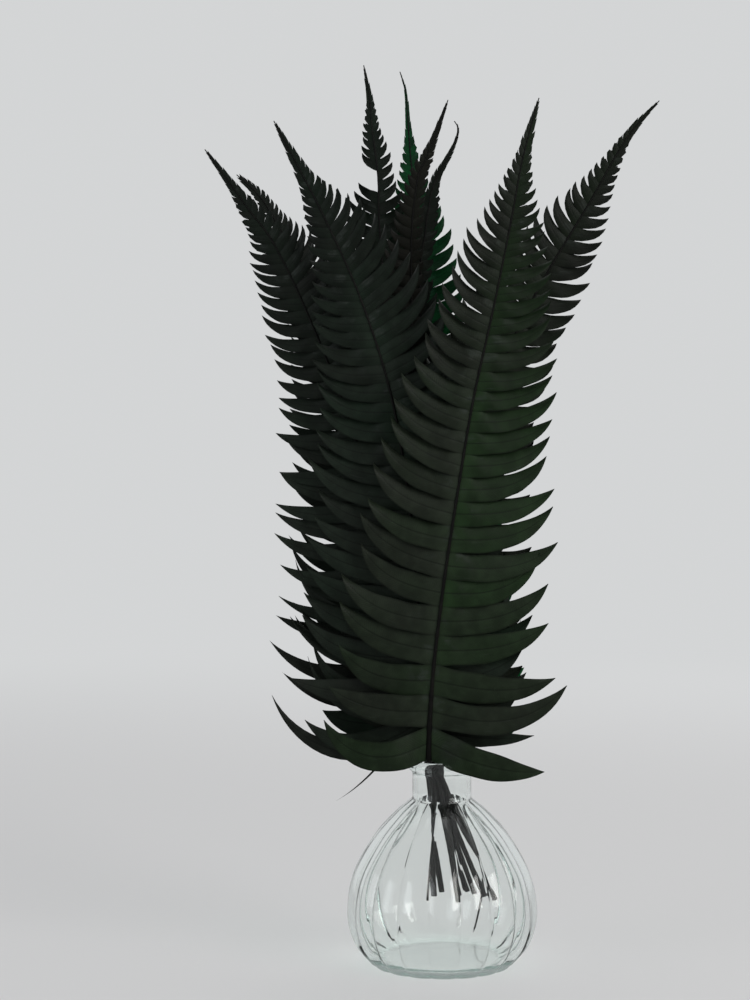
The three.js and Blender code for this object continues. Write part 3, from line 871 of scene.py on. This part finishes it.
# The pale floor and backdrop, in metres. The room colours light the object from all round.
studio = {
    "wall": (0.655, 0.665, 0.67),
    "floor": (0.79, 0.792, 0.795),
    "floorGlow": (0.64, 0.64, 0.645),
    "glow": 0.5,
    "unseenGlow": 0.3,
    "mirrored": 0.35,
    "floorRadius": 9,
    "floorSides": 64,
    "clearRadius": 0.5,
    "fadeRadius": 2.0,
    "roomLow": (0.36, 0.365, 0.37),
    "roomHigh": (0.2, 0.205, 0.21),
}


def seenDirectly(nodes, links, ray):
    # 1 for rays from the camera, straight or through glass
    seen = addNode(nodes, "Math", operation="MAXIMUM")
    links.new(ray.outputs["Is Camera Ray"], seen.inputs[0])
    links.new(ray.outputs["Is Transmission Ray"], seen.inputs[1])
    return seen.outputs[0]


def makeStage():
    # a pale round floor that fades into the plain backdrop colour
    mesh = bpy.data.meshes.new("floor")
    radius, sides = studio["floorRadius"], studio["floorSides"]
    ring = [(radius * math.cos(a), radius * math.sin(a), 0)
            for a in np.linspace(0, 2 * math.pi, sides, endpoint=False)]
    mesh.from_pydata(ring, [], [list(range(sides))])
    floor = bpy.data.objects.new("floor", mesh)
    scene.collection.objects.link(floor)
    material, nodes, links = newMaterial("paleFloor")
    out = addNode(nodes, "OutputMaterial")
    near = addNode(nodes, "BsdfDiffuse", {"Color": (*studio["floor"], 1)})
    # the floor shines fully only where it is looked at, so that it doesn't light the leaves from below
    strength = addNode(nodes, "MapRange", {"To Min": studio["unseenGlow"], "To Max": 1})
    links.new(seenDirectly(nodes, links, addNode(nodes, "LightPath")), strength.inputs["Value"])
    glow = addNode(nodes, "Emission", {"Color": (*studio["floorGlow"], 1)})
    links.new(strength.outputs[0], glow.inputs["Strength"])
    nearMix = addNode(nodes, "MixShader", {0: studio["glow"]})
    links.new(near.outputs[0], nearMix.inputs[1])
    links.new(glow.outputs[0], nearMix.inputs[2])
    far = addNode(nodes, "Emission", {"Color": (*studio["wall"], 1)})
    links.new(strength.outputs[0], far.inputs["Strength"])
    coords = addNode(nodes, "TexCoord")
    length = addNode(nodes, "VectorMath", operation="LENGTH")
    links.new(coords.outputs["Object"], length.inputs[0])
    fade = addNode(nodes, "MapRange", {"From Min": studio["clearRadius"], "From Max": studio["fadeRadius"]},
                   interpolation_type="SMOOTHSTEP")
    links.new(length.outputs["Value"], fade.inputs["Value"])
    mix = addNode(nodes, "MixShader")
    links.new(fade.outputs[0], mix.inputs[0])
    links.new(nearMix.outputs[0], mix.inputs[1])
    links.new(far.outputs[0], mix.inputs[2])
    links.new(mix.outputs[0], out.inputs["Surface"])
    mesh.materials.append(material)


def makeWorld():
    world = bpy.data.worlds.new("studio")
    scene.world = world
    world.use_nodes = True
    nodes, links = world.node_tree.nodes, world.node_tree.links
    nodes.clear()
    out = addNode(nodes, "OutputWorld")
    seen = addNode(nodes, "Background", {"Color": (*studio["wall"], 1)})
    shining = addNode(nodes, "Background")
    coords = addNode(nodes, "TexCoord")
    parts = addNode(nodes, "SeparateXYZ")
    links.new(coords.outputs["Generated"], parts.inputs[0])
    lift = addNode(nodes, "MapRange", {"From Min": -1, "From Max": 1})
    links.new(parts.outputs[2], lift.inputs["Value"])
    ramp = addRamp(nodes, 0.55, studio["roomLow"], 0.86, studio["roomHigh"])
    links.new(lift.outputs[0], ramp.inputs[0])
    links.new(ramp.outputs[0], shining.inputs["Color"])
    ray = addNode(nodes, "LightPath")
    dimmer = addNode(nodes, "MapRange", {"To Min": 1, "To Max": studio["mirrored"]})
    links.new(ray.outputs["Is Glossy Ray"], dimmer.inputs["Value"])
    links.new(dimmer.outputs[0], shining.inputs["Strength"])
    # what has bounced about inside the glass comes out as bright as the backdrop
    deep = addNode(nodes, "Math", {1: 1.5}, operation="GREATER_THAN")
    links.new(ray.outputs["Ray Depth"], deep.inputs[0])
    inGlass = addNode(nodes, "Math", operation="MULTIPLY")
    links.new(deep.outputs[0], inGlass.inputs[0])
    links.new(ray.outputs["Is Glossy Ray"], inGlass.inputs[1])
    bright = addNode(nodes, "Math", operation="MAXIMUM")
    links.new(seenDirectly(nodes, links, ray), bright.inputs[0])
    links.new(inGlass.outputs[0], bright.inputs[1])
    mix = addNode(nodes, "MixShader")
    links.new(bright.outputs[0], mix.inputs[0])
    links.new(shining.outputs[0], mix.inputs[1])
    links.new(seen.outputs[0], mix.inputs[2])
    links.new(mix.outputs[0], out.inputs["Surface"])


# Soft lamps, in metres and watts, each aimed at a point near the vase.
lamps = {
    "windowRight": {"place": (1.5, -1.3, 0.85), "aim": (0, 0, 0.12), "size": (1.2, 1.2), "watts": 26,
                    "colour": (1, 0.985, 0.96), "showsInGlass": True},
    "softLeft": {"place": (-1.7, -1.0, 0.6), "aim": (0, 0, 0.15), "size": (1.1, 1.1), "watts": 10,
                 "colour": (0.94, 0.97, 1), "showsInGlass": True},
    "softTop": {"place": (0, 0.5, 2.2), "aim": (0, 0.2, 0), "size": (1.8, 1.8), "watts": 9,
                "colour": (1, 1, 1), "showsInGlass": True},
    "softBack": {"place": (0.7, 2.0, 0.8), "aim": (0, 0, 0.25), "size": (1.4, 1.2), "watts": 12,
                 "colour": (1, 1, 1), "showsInGlass": False},
}


def makeLights():
    for name, lamp in lamps.items():
        data = bpy.data.lights.new(name, "AREA")
        data.shape = "RECTANGLE"
        data.size, data.size_y = lamp["size"]
        data.energy = lamp["watts"]
        data.color = lamp["colour"]
        holder = bpy.data.objects.new(name, data)
        holder.location = lamp["place"]
        aim = Vector(lamp["aim"]) - Vector(lamp["place"])
        holder.rotation_euler = aim.to_track_quat("-Z", "Y").to_euler()
        holder.visible_transmission = lamp["showsInGlass"]
        holder.visible_glossy = lamp["showsInGlass"]
        scene.collection.objects.link(holder)


makeCamera()
makeStage()
makeWorld()
makeLights()
scene.view_settings.view_transform = "Standard"
scene.view_settings.look = "None"
print("stage set")

makeVase(glassMaterial())
leafPattern = leafTexture()
ribWood = ribMaterial()
print("leaf pattern and rib ready")
for frondName, frondFacts in fronds.items():
    dye = leafDyesAndPaintedLight[frondFacts["slot"]]
    leafSkin = leafMaterial(frondName + "_dye_and_painted_light", dye, frondFacts["shade"], leafPattern)
    makeFrond(frondName, frondFacts, [leafSkin, ribWood])
